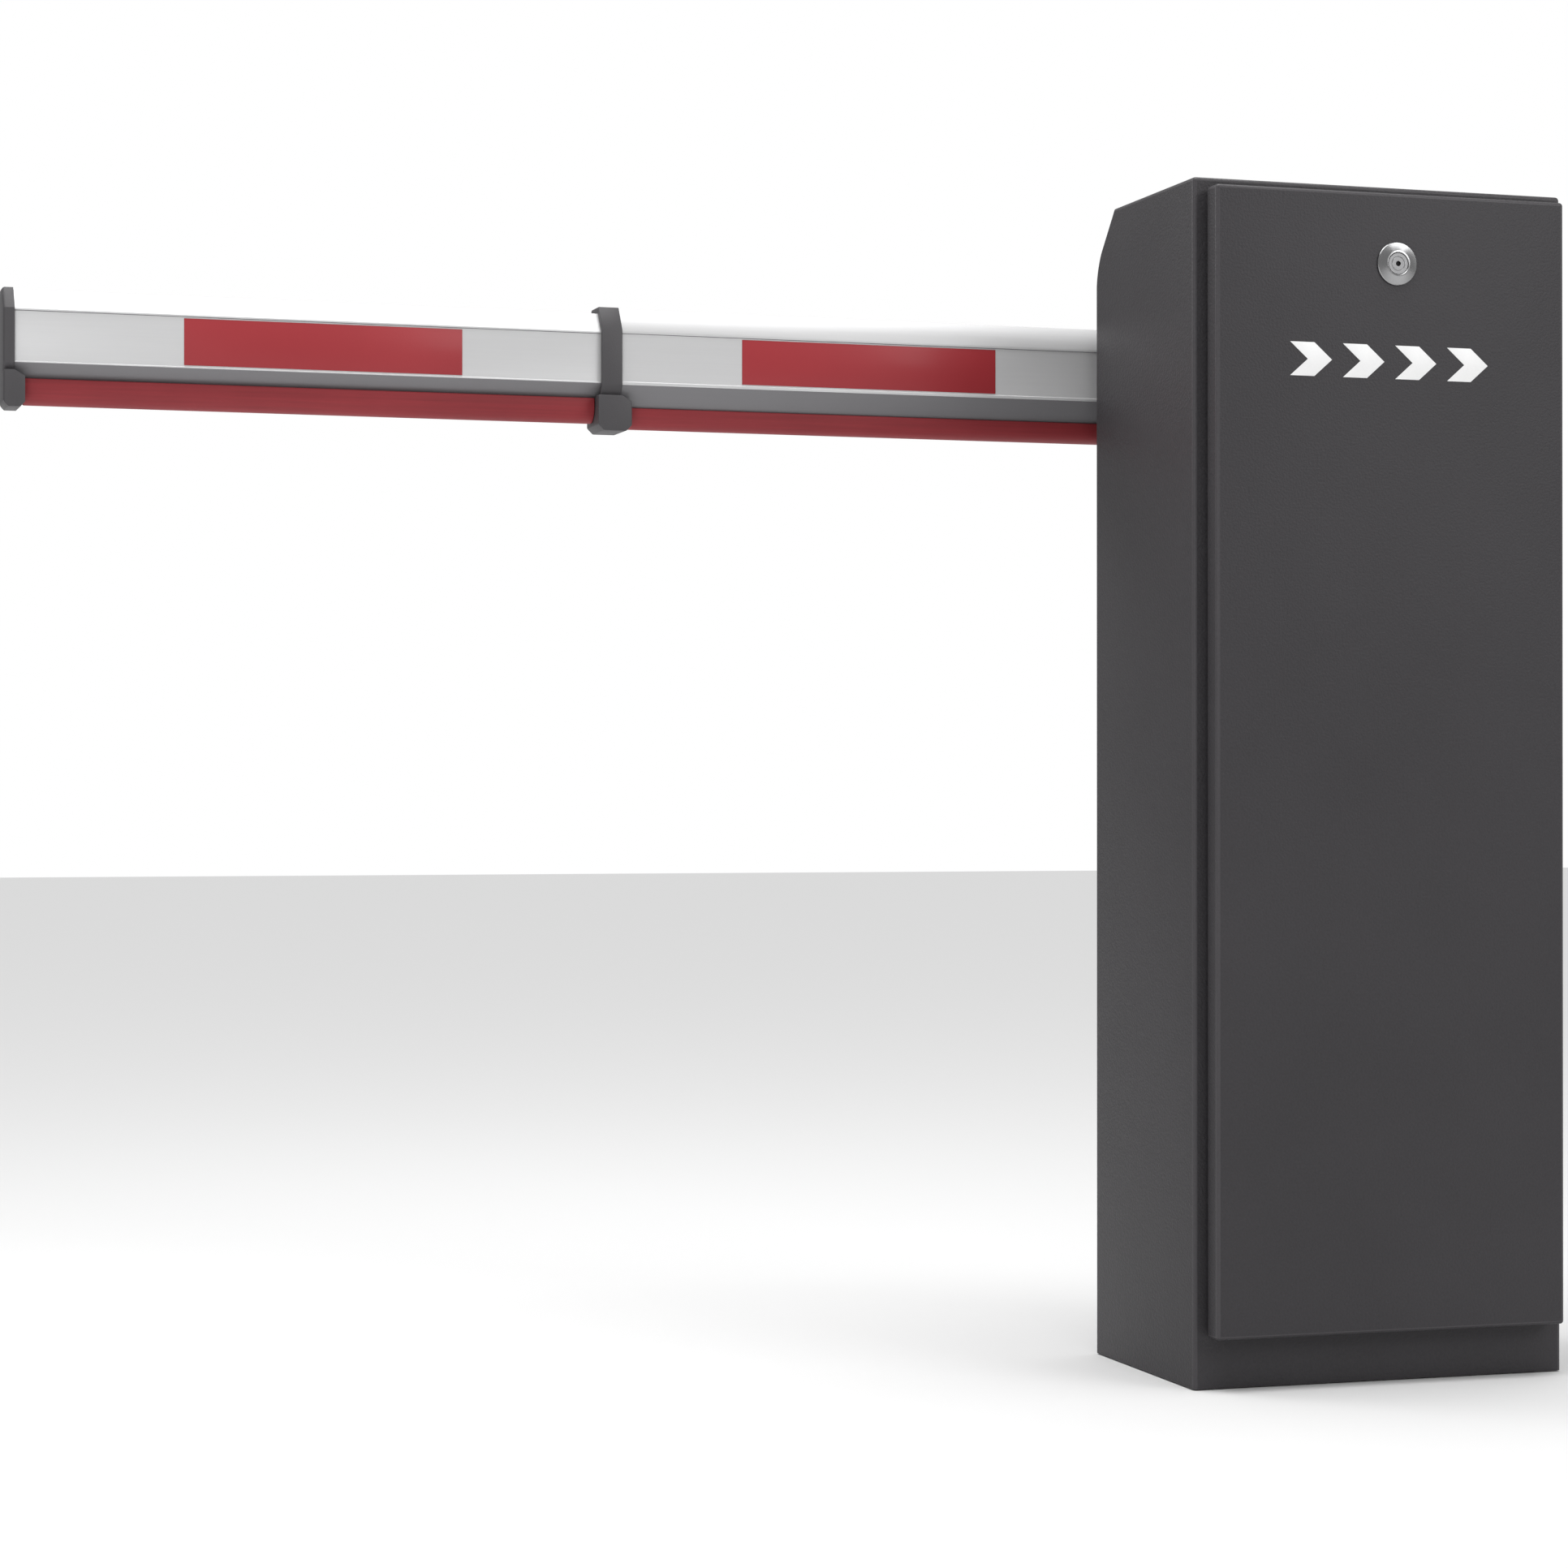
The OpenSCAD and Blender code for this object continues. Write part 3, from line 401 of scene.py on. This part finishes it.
# Worm drive: bronze wheel on the shaft, worm and rotor on one shaft below it, in
# a cast case with a bolted cover, a finned motor and an orange release wheel.
bronze = finish("gear_bronze", (0.62, 0.40, 0.16), 0.30, 1.0, 700, 0.00002, 0.08, 18)
cast_metal = finish("cast_aluminium", (0.60, 0.60, 0.61), 0.46, 0.9, 420, 0.00018, 0.08, 25)
orange_plastic = finish("orange_moulding", (0.76, 0.17, 0.03), 0.42, 0.0, 800, 0.00006, 0.05, 15)
for node, piece_name, material, width in (
        ("worm_wheel", "bronze_wheel", bronze, 0.0003),
        ("gearbox_housing", "gear_case", cast_metal, 0.0012),
        ("gearbox_cover", "gear_case_cover", cast_metal, 0.0010),
        ("worm_shaft", "worm_and_rotor", machined, 0.0003),
        ("motor_case", "finned_motor", cast_paint, 0.0008),
        ("handwheel", "release_wheel", orange_plastic, 0.0008)):
    taken_over(node, piece_name, material, width)


# Balance: a plated lever and its pin on the shaft, a hanger for the two springs, a
# folded beam with eyebolts at their foot, rubber stops, moulded cams and switches.
white_plastic = finish("white_moulding", (0.72, 0.72, 0.69), 0.42, 0.0, 800, 0.00005, 0.03, 15)
dark_plastic = finish("dark_moulding", (0.055, 0.060, 0.070), 0.50, 0.0, 800, 0.00008, 0.05, 15)
for node, piece_name, material, width in (
        ("balance_lever", "lever_arm", plated, 0.0010),
        ("lever_pin", "hanger_pin", machined, 0.0008),
        ("spring_hanger", "hanger_block", machined, 0.0010),
        ("spring_eyebolts", "eyebolt_set", plated, 0.0006),
        ("eyebolt_nuts", "eyebolt_nut_set", plated, 0.0004),
        ("spring_beam", "cross_beam", powder_coat, 0.0014),
        ("stop_brackets", "stop_bracket_set", plated, 0.0008),
        ("stop_buffers", "buffer_set", black_rubber, 0.0015),
        ("limit_cams", "cam_pair", white_plastic, 0.0005),
        ("limit_switches", "switch_pair", dark_plastic, 0.0008)):
    taken_over(node, piece_name, material, width)


# Balance springs: close-wound extension springs of black wire, hooked at both
# ends. They are drawn out while the boom is down and close as it rises.
wire_paint = finish("black_spring_wire", (0.030, 0.030, 0.034), 0.38, 0.3, 700, 0.00004, 0.10, 40)
spring_low, spring_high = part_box("balance_springs")
wire_radius = 0.0020
coil_radius = (spring_high.y - spring_low.y) / 2 - wire_radius
coil_y = (spring_low.y + spring_high.y) / 2
hook_length = 0.016
hook_bend_in = 0.6
hook_bend_down = 0.55
coil_low = spring_low.z + hook_length
coil_length = spring_high.z - spring_low.z - 2 * hook_length
turns = 88
steps_per_turn = 18
wire_sides = 8
spring_set = []
for side, coil_x in (("left", spring_low.x + coil_radius + wire_radius),
                     ("right", spring_high.x - coil_radius - wire_radius)):
    deselect()
    bpy.ops.mesh.primitive_circle_add(vertices=wire_sides, radius=wire_radius, fill_type="NOTHING",
                                      location=(coil_radius, 0, 0), rotation=(math.pi / 2, 0, 0))
    coil = bpy.context.object
    coil.name = "spring_coil_" + side
    bpy.ops.object.transform_apply(location=True, rotation=True, scale=True)
    screw = coil.modifiers.new("winding", "SCREW")
    screw.axis = "Z"
    screw.angle = 2 * math.pi * turns
    screw.screw_offset = coil_length
    screw.steps = steps_per_turn * turns
    screw.render_steps = steps_per_turn * turns
    screw.use_smooth_shade = True
    bpy.ops.object.modifier_apply(modifier=screw.name)
    bpy.ops.object.mode_set(mode="EDIT")
    bpy.ops.mesh.select_all(action="DESELECT")
    bpy.ops.mesh.select_mode(type="EDGE")
    bpy.ops.mesh.select_non_manifold(extend=False)
    bpy.ops.mesh.edge_face_add()
    bpy.ops.mesh.select_all(action="SELECT")
    bpy.ops.mesh.normals_make_consistent(inside=False)
    bpy.ops.object.mode_set(mode="OBJECT")
    deselect()
    bpy.ops.curve.primitive_bezier_curve_add(location=(0, 0, 0))
    hooks = bpy.context.object
    spline = hooks.data.splines[0]
    bend = (coil_radius * hook_bend_in, 0, -hook_length * hook_bend_down)
    for point, place in zip(spline.bezier_points, ((coil_radius, 0, 0), bend)):
        point.co = place
        point.handle_left_type = point.handle_right_type = "AUTO"
    spline.bezier_points.add(1)
    spline.bezier_points[2].co = (0, 0, -hook_length + wire_radius)
    spline.bezier_points[2].handle_left_type = spline.bezier_points[2].handle_right_type = "AUTO"
    hooks.data.bevel_depth = wire_radius
    hooks.data.bevel_resolution = 2
    hooks.data.use_fill_caps = True
    bpy.ops.object.convert(target="MESH")
    lower_hook = bpy.context.object
    bpy.ops.object.duplicate()
    upper_hook = bpy.context.object
    upper_hook.rotation_euler = (0, math.pi, math.pi)
    upper_hook.location = (0, 0, coil_length)
    deselect()
    for part in (lower_hook, upper_hook, coil):
        part.select_set(True)
    bpy.context.view_layer.objects.active = coil
    bpy.ops.object.join()
    coil.location = (coil_x, coil_y, coil_low)
    bpy.ops.object.transform_apply(location=True, rotation=True, scale=True)
    coil.data.materials.clear()
    coil.data.materials.append(wire_paint)
    spring_set.append(coil)
for coil in spring_set:
    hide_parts("balance_springs")
    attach(coil, "cabinet")
for coil in spring_set:
    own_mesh(coil)


# Electrical panel: a plated plate on standoffs. It holds the controller in a moulded
# case, the supply in a metal case, and a rail with breakers and terminals.
for node, piece_name, material, width in (
        ("panel_plate", "mounting_plate", plated, 0.0005),
        ("panel_standoffs", "standoff_set", plated, 0.0003),
        ("controller_box", "controller_case", dark_plastic, 0.0020),
        ("power_supply", "supply_case", cast_metal, 0.0006),
        ("din_rail", "mounting_rail", plated, 0.0003),
        ("circuit_breaker", "breaker_pair", white_plastic, 0.0008),
        ("terminal_blocks", "terminal_row", white_plastic, 0.0005)):
    taken_over(node, piece_name, material, width)


# Door: a folded pan of coated sheet with a turned-in rim. It hangs on two hooks at
# its foot, carries the seal, and is held at the top by the cam lock.
white_film = finish("white_film", (0.86, 0.86, 0.86), 0.40, 0.0, 700, 0.00002, 0.02, 12)
door_low, door_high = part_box("door_panel")
door_mid = (door_low + door_high) / 2
door_size = door_high - door_low
door_sheet = 0.0015
door_rim = 0.018
door_fold_radius = 0.0030
deselect()
bpy.ops.mesh.primitive_cube_add(size=1, location=door_mid, scale=door_size)
door = bpy.context.object
door.name = "door_pan"
bpy.ops.object.transform_apply(location=True, rotation=True, scale=True)


def door_fold(a, b):
    on_face = near(a.y, door_low.y) and near(b.y, door_low.y)
    corner = near(a.x, b.x) and near(a.z, b.z)
    return on_face or corner


folded(door, door_fold, door_fold_radius, 5)
bpy.ops.object.mode_set(mode="EDIT")
bpy.ops.mesh.select_mode(type="FACE")
bpy.ops.mesh.select_all(action="DESELECT")
bpy.ops.object.mode_set(mode="OBJECT")
for face in door.data.polygons:
    face.select = face.normal.y > 0.99
bpy.ops.object.mode_set(mode="EDIT")
bpy.ops.mesh.inset(thickness=door_rim)
bpy.ops.mesh.delete(type="FACE")
bpy.ops.object.mode_set(mode="OBJECT")
wall = door.modifiers.new("sheet", "SOLIDIFY")
wall.thickness = door_sheet
wall.offset = -1
bpy.ops.object.modifier_apply(modifier=wall.name)
smooth(door, 30)
fit(door, "door_panel", powder_coat)
# painted highlight on the door's outer folds
paint_fold_highlights(door)

for node, piece_name, material, width in (
        ("door_gasket", "door_seal", black_rubber, 0.0015),
        ("door_hooks", "door_hook_pair", plated, 0.0006),
        ("hinge_brackets", "hinge_ear_set", plated, 0.0005),
        ("hinge_pins", "hinge_pin_pair", machined, 0.0005),
        ("door_decal", "door_chevrons", white_film, 0.00008)):
    taken_over(node, piece_name, material, width, 2)


# Cam lock: a turned chrome rosette with a conical face, a flat plug with a small
# keyhole in its middle, and a nut, cam and screw behind the door sheet.
chrome = finish("polished_chrome", (0.36, 0.36, 0.365), 0.22, 1.0, 600, 0.00001, 0.02, 30, 0.03)
ring_low, ring_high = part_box("lock_housing")
ring_x = (ring_low.x + ring_high.x) / 2
ring_z = (ring_low.z + ring_high.z) / 2
ring_radius = (ring_high.x - ring_low.x) / 2
plug_low, plug_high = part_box("lock_plug")
plug_radius = (plug_high.x - plug_low.x) / 2


def turned(name, rings, steps=96):
    # rings are (radius, y) from the rim inwards, spun round the lock's axis
    deselect()
    bpy.ops.mesh.primitive_circle_add(vertices=steps, radius=rings[0][0], fill_type="NOTHING",
                                      location=(ring_x, rings[0][1], ring_z), rotation=(math.pi / 2, 0, 0))
    piece = bpy.context.object
    piece.name = name
    bpy.ops.object.transform_apply(location=True, rotation=True, scale=True)
    bpy.ops.object.mode_set(mode="EDIT")
    bpy.ops.mesh.select_mode(type="VERT")
    bpy.ops.mesh.select_all(action="SELECT")
    for (radius_0, y_0), (radius_1, y_1) in zip(rings, rings[1:]):
        bpy.ops.mesh.extrude_edges_move(TRANSFORM_OT_translate={"value": (0, y_1 - y_0, 0)})
        share = radius_1 / radius_0
        bpy.ops.transform.resize(value=(share, 1, share), center_override=(ring_x, y_1, ring_z))
    return piece


def closed_up(piece):
    bpy.ops.mesh.select_all(action="SELECT")
    bpy.ops.mesh.remove_doubles(threshold=0.000005)
    bpy.ops.mesh.normals_make_consistent(inside=False)
    bpy.ops.object.mode_set(mode="OBJECT")


face_y = door_low.y
front = ring_low.y
rim = 0.0012
bore = plug_radius + 0.0001
neck = 0.0120
rosette_rings = (
    (neck, ring_high.y), (neck, face_y), (ring_radius - 0.0004, face_y),
    (ring_radius, face_y - 0.0004), (ring_radius, face_y - rim),
    (ring_radius - 0.0005, face_y - rim - 0.0006), (bore + 0.0018, front + 0.0002),
    (bore + 0.0013, front), (bore + 0.0004, front), (bore, front + 0.0004),
    (bore, ring_high.y), (neck, ring_high.y))
rosette = turned("lock_rosette", rosette_rings)
closed_up(rosette)
smooth(rosette, 25)
fit(rosette, "lock_housing", chrome)

stem = 0.006
plug_front = plug_low.y
keyhole = 0.0022
shoulder_y = face_y + 0.020
# the three rings near the keyhole make a shallow groove round it
plug_rings = (
    (stem, plug_high.y), (stem, shoulder_y), (plug_radius, shoulder_y),
    (plug_radius, plug_front + 0.0005), (plug_radius - 0.0005, plug_front),
    (0.0062, plug_front), (0.0058, plug_front + 0.0003), (0.0054, plug_front),
    (keyhole, plug_front), (keyhole, plug_front + 0.006))
plug = turned("lock_plug_barrel", plug_rings, 64)
bpy.ops.mesh.edge_face_add()
bpy.ops.mesh.select_all(action="DESELECT")
bpy.ops.object.mode_set(mode="OBJECT")
for vertex in plug.data.vertices:
    vertex.select = near(vertex.co.y, plug_high.y)
bpy.ops.object.mode_set(mode="EDIT")
bpy.ops.mesh.edge_face_add()
closed_up(plug)
smooth(plug, 30)
plug_metal = finish("satin_lock_steel", (0.27, 0.27, 0.275), 0.36, 1.0, 900, 0.00002, 0.05, 60, 0.06)
fit(plug, "lock_plug", plug_metal)
taken_over("lock_nut", "lock_ring_nut", plated, 0.0006)
taken_over("lock_cam", "latch_cam", plated, 0.0004)
taken_over("cam_screw", "latch_screw", plated, 0.0004)


# Boom mounting behind the cabinet: a coated steel hub on the shaft carries a holder,
# and a clamp plate with four plated bolts grips the boom in it.
for node, piece_name, material, width in (
        ("hub_flange", "boom_hub", powder_coat, 0.0020),
        ("boom_holder", "boom_saddle", powder_coat, 0.0025),
        ("clamp_plate", "boom_clamp", powder_coat, 0.0025),
        ("clamp_bolts", "clamp_bolt_set", plated, 0.0008)):
    taken_over(node, piece_name, material, width, 3)


# Boom: two eight-sided satin-anodised aluminium extrusions, the tip section drawn
# into the root section. Each has a shallow channel for its reflector, and the
# profile's lower bevels, which face down, get a darker grey as painted shade.
along_boom = (0.02, 1, 1)
boom_metal = finish("satin_anodised_aluminium", (0.62, 0.62, 0.624), 0.40, 0.30, 700, 0.00002,
                    0.02, 6, 0.05, along_boom)
# painted shade: a darker grey for the lower bevels that face down
lower_bevel_shade_paint = finish("painted_shade_lower_bevels", (0.186, 0.183, 0.191), 0.42, 0.2, 700, 0.00002,
                   0.02, 6, 0.05, along_boom)
for node, piece_name in (("root_section", "boom_root_profile"), ("tip_section", "boom_tip_profile")):
    profile = taken_over(node, piece_name, boom_metal, 0.0006, 3)
    profile.data.materials.append(lower_bevel_shade_paint)
    # faces turned downwards take the painted shade
    for face in profile.data.polygons:
        if face.normal.z < -0.3 and face.normal.x ** 2 < 0.5:
            face.material_index = 1


# Rubber edges: hollow extrusions of red rubber, pushed onto the foot of each boom
# section. They meet the lobe of the collar or of the cap.
red_rubber = finish("red_rubber", (0.250, 0.026, 0.032), 0.55, 0.0, 500, 0.00012, 0.14, 12, 0.06,
                    along_boom, gloss=0.32)
for node, piece_name in (("root_bumper", "rubber_edge_root"), ("tip_bumper", "rubber_edge_tip")):
    taken_over(node, piece_name, red_rubber, 0.0010, 3)


# Joint collar and end cap: moulded in dark grey plastic with cut corners. The collar
# is pushed on the end of the root section, the cap closes the tip section.
grey_plastic = finish("grey_moulding", (0.066, 0.063, 0.067), 0.50, 0.0, 900, 0.00010, 0.05, 15,
                      gloss=0.35)
taken_over("joint_collar", "collar_moulding", grey_plastic, 0.0012, 3)
cap = copy_of("end_cap", "end_cap_moulding")
cap_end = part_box("end_cap")[0].x
cap_round = 0.0022
folded(cap, lambda a, b: near(a.x, cap_end) and near(b.x, cap_end), cap_round, 3)
broken_edges(cap, 0.0010, 3)
smooth(cap)
fit(cap, "end_cap", grey_plastic)


# Reflectors: strips of red film with a fine honeycomb of cells under a clear face,
# stuck into the channel of each section.
film_red = (0.340, 0.027, 0.034)
red_film, film_nodes, film_links, film_shader = new_material("red_reflective_film", film_red, 0.45)
clouds = noise(film_nodes, film_links, 8, 3.0)
mottle(film_nodes, film_links, film_shader, clouds, (0.322, 0.025, 0.032), (0.360, 0.030, 0.037))
cell_place = film_nodes.new("ShaderNodeTexCoord")
cells = film_nodes.new("ShaderNodeTexVoronoi")
cells.feature = "DISTANCE_TO_EDGE"
cells.inputs["Scale"].default_value = 330
film_links.new(cell_place.outputs["Object"], cells.inputs["Vector"])
bump(film_nodes, film_links, film_shader, cells.outputs["Distance"], 0.00006, 0.6)
film_shader.inputs["Specular IOR Level"].default_value = 0.35
film_shader.inputs["Coat Weight"].default_value = 0.12
film_shader.inputs["Coat Roughness"].default_value = 0.20
for node, piece_name in (("root_reflector", "reflector_root"), ("tip_reflector", "reflector_tip")):
    taken_over(node, piece_name, red_film, 0.00015, 2)


deselect()
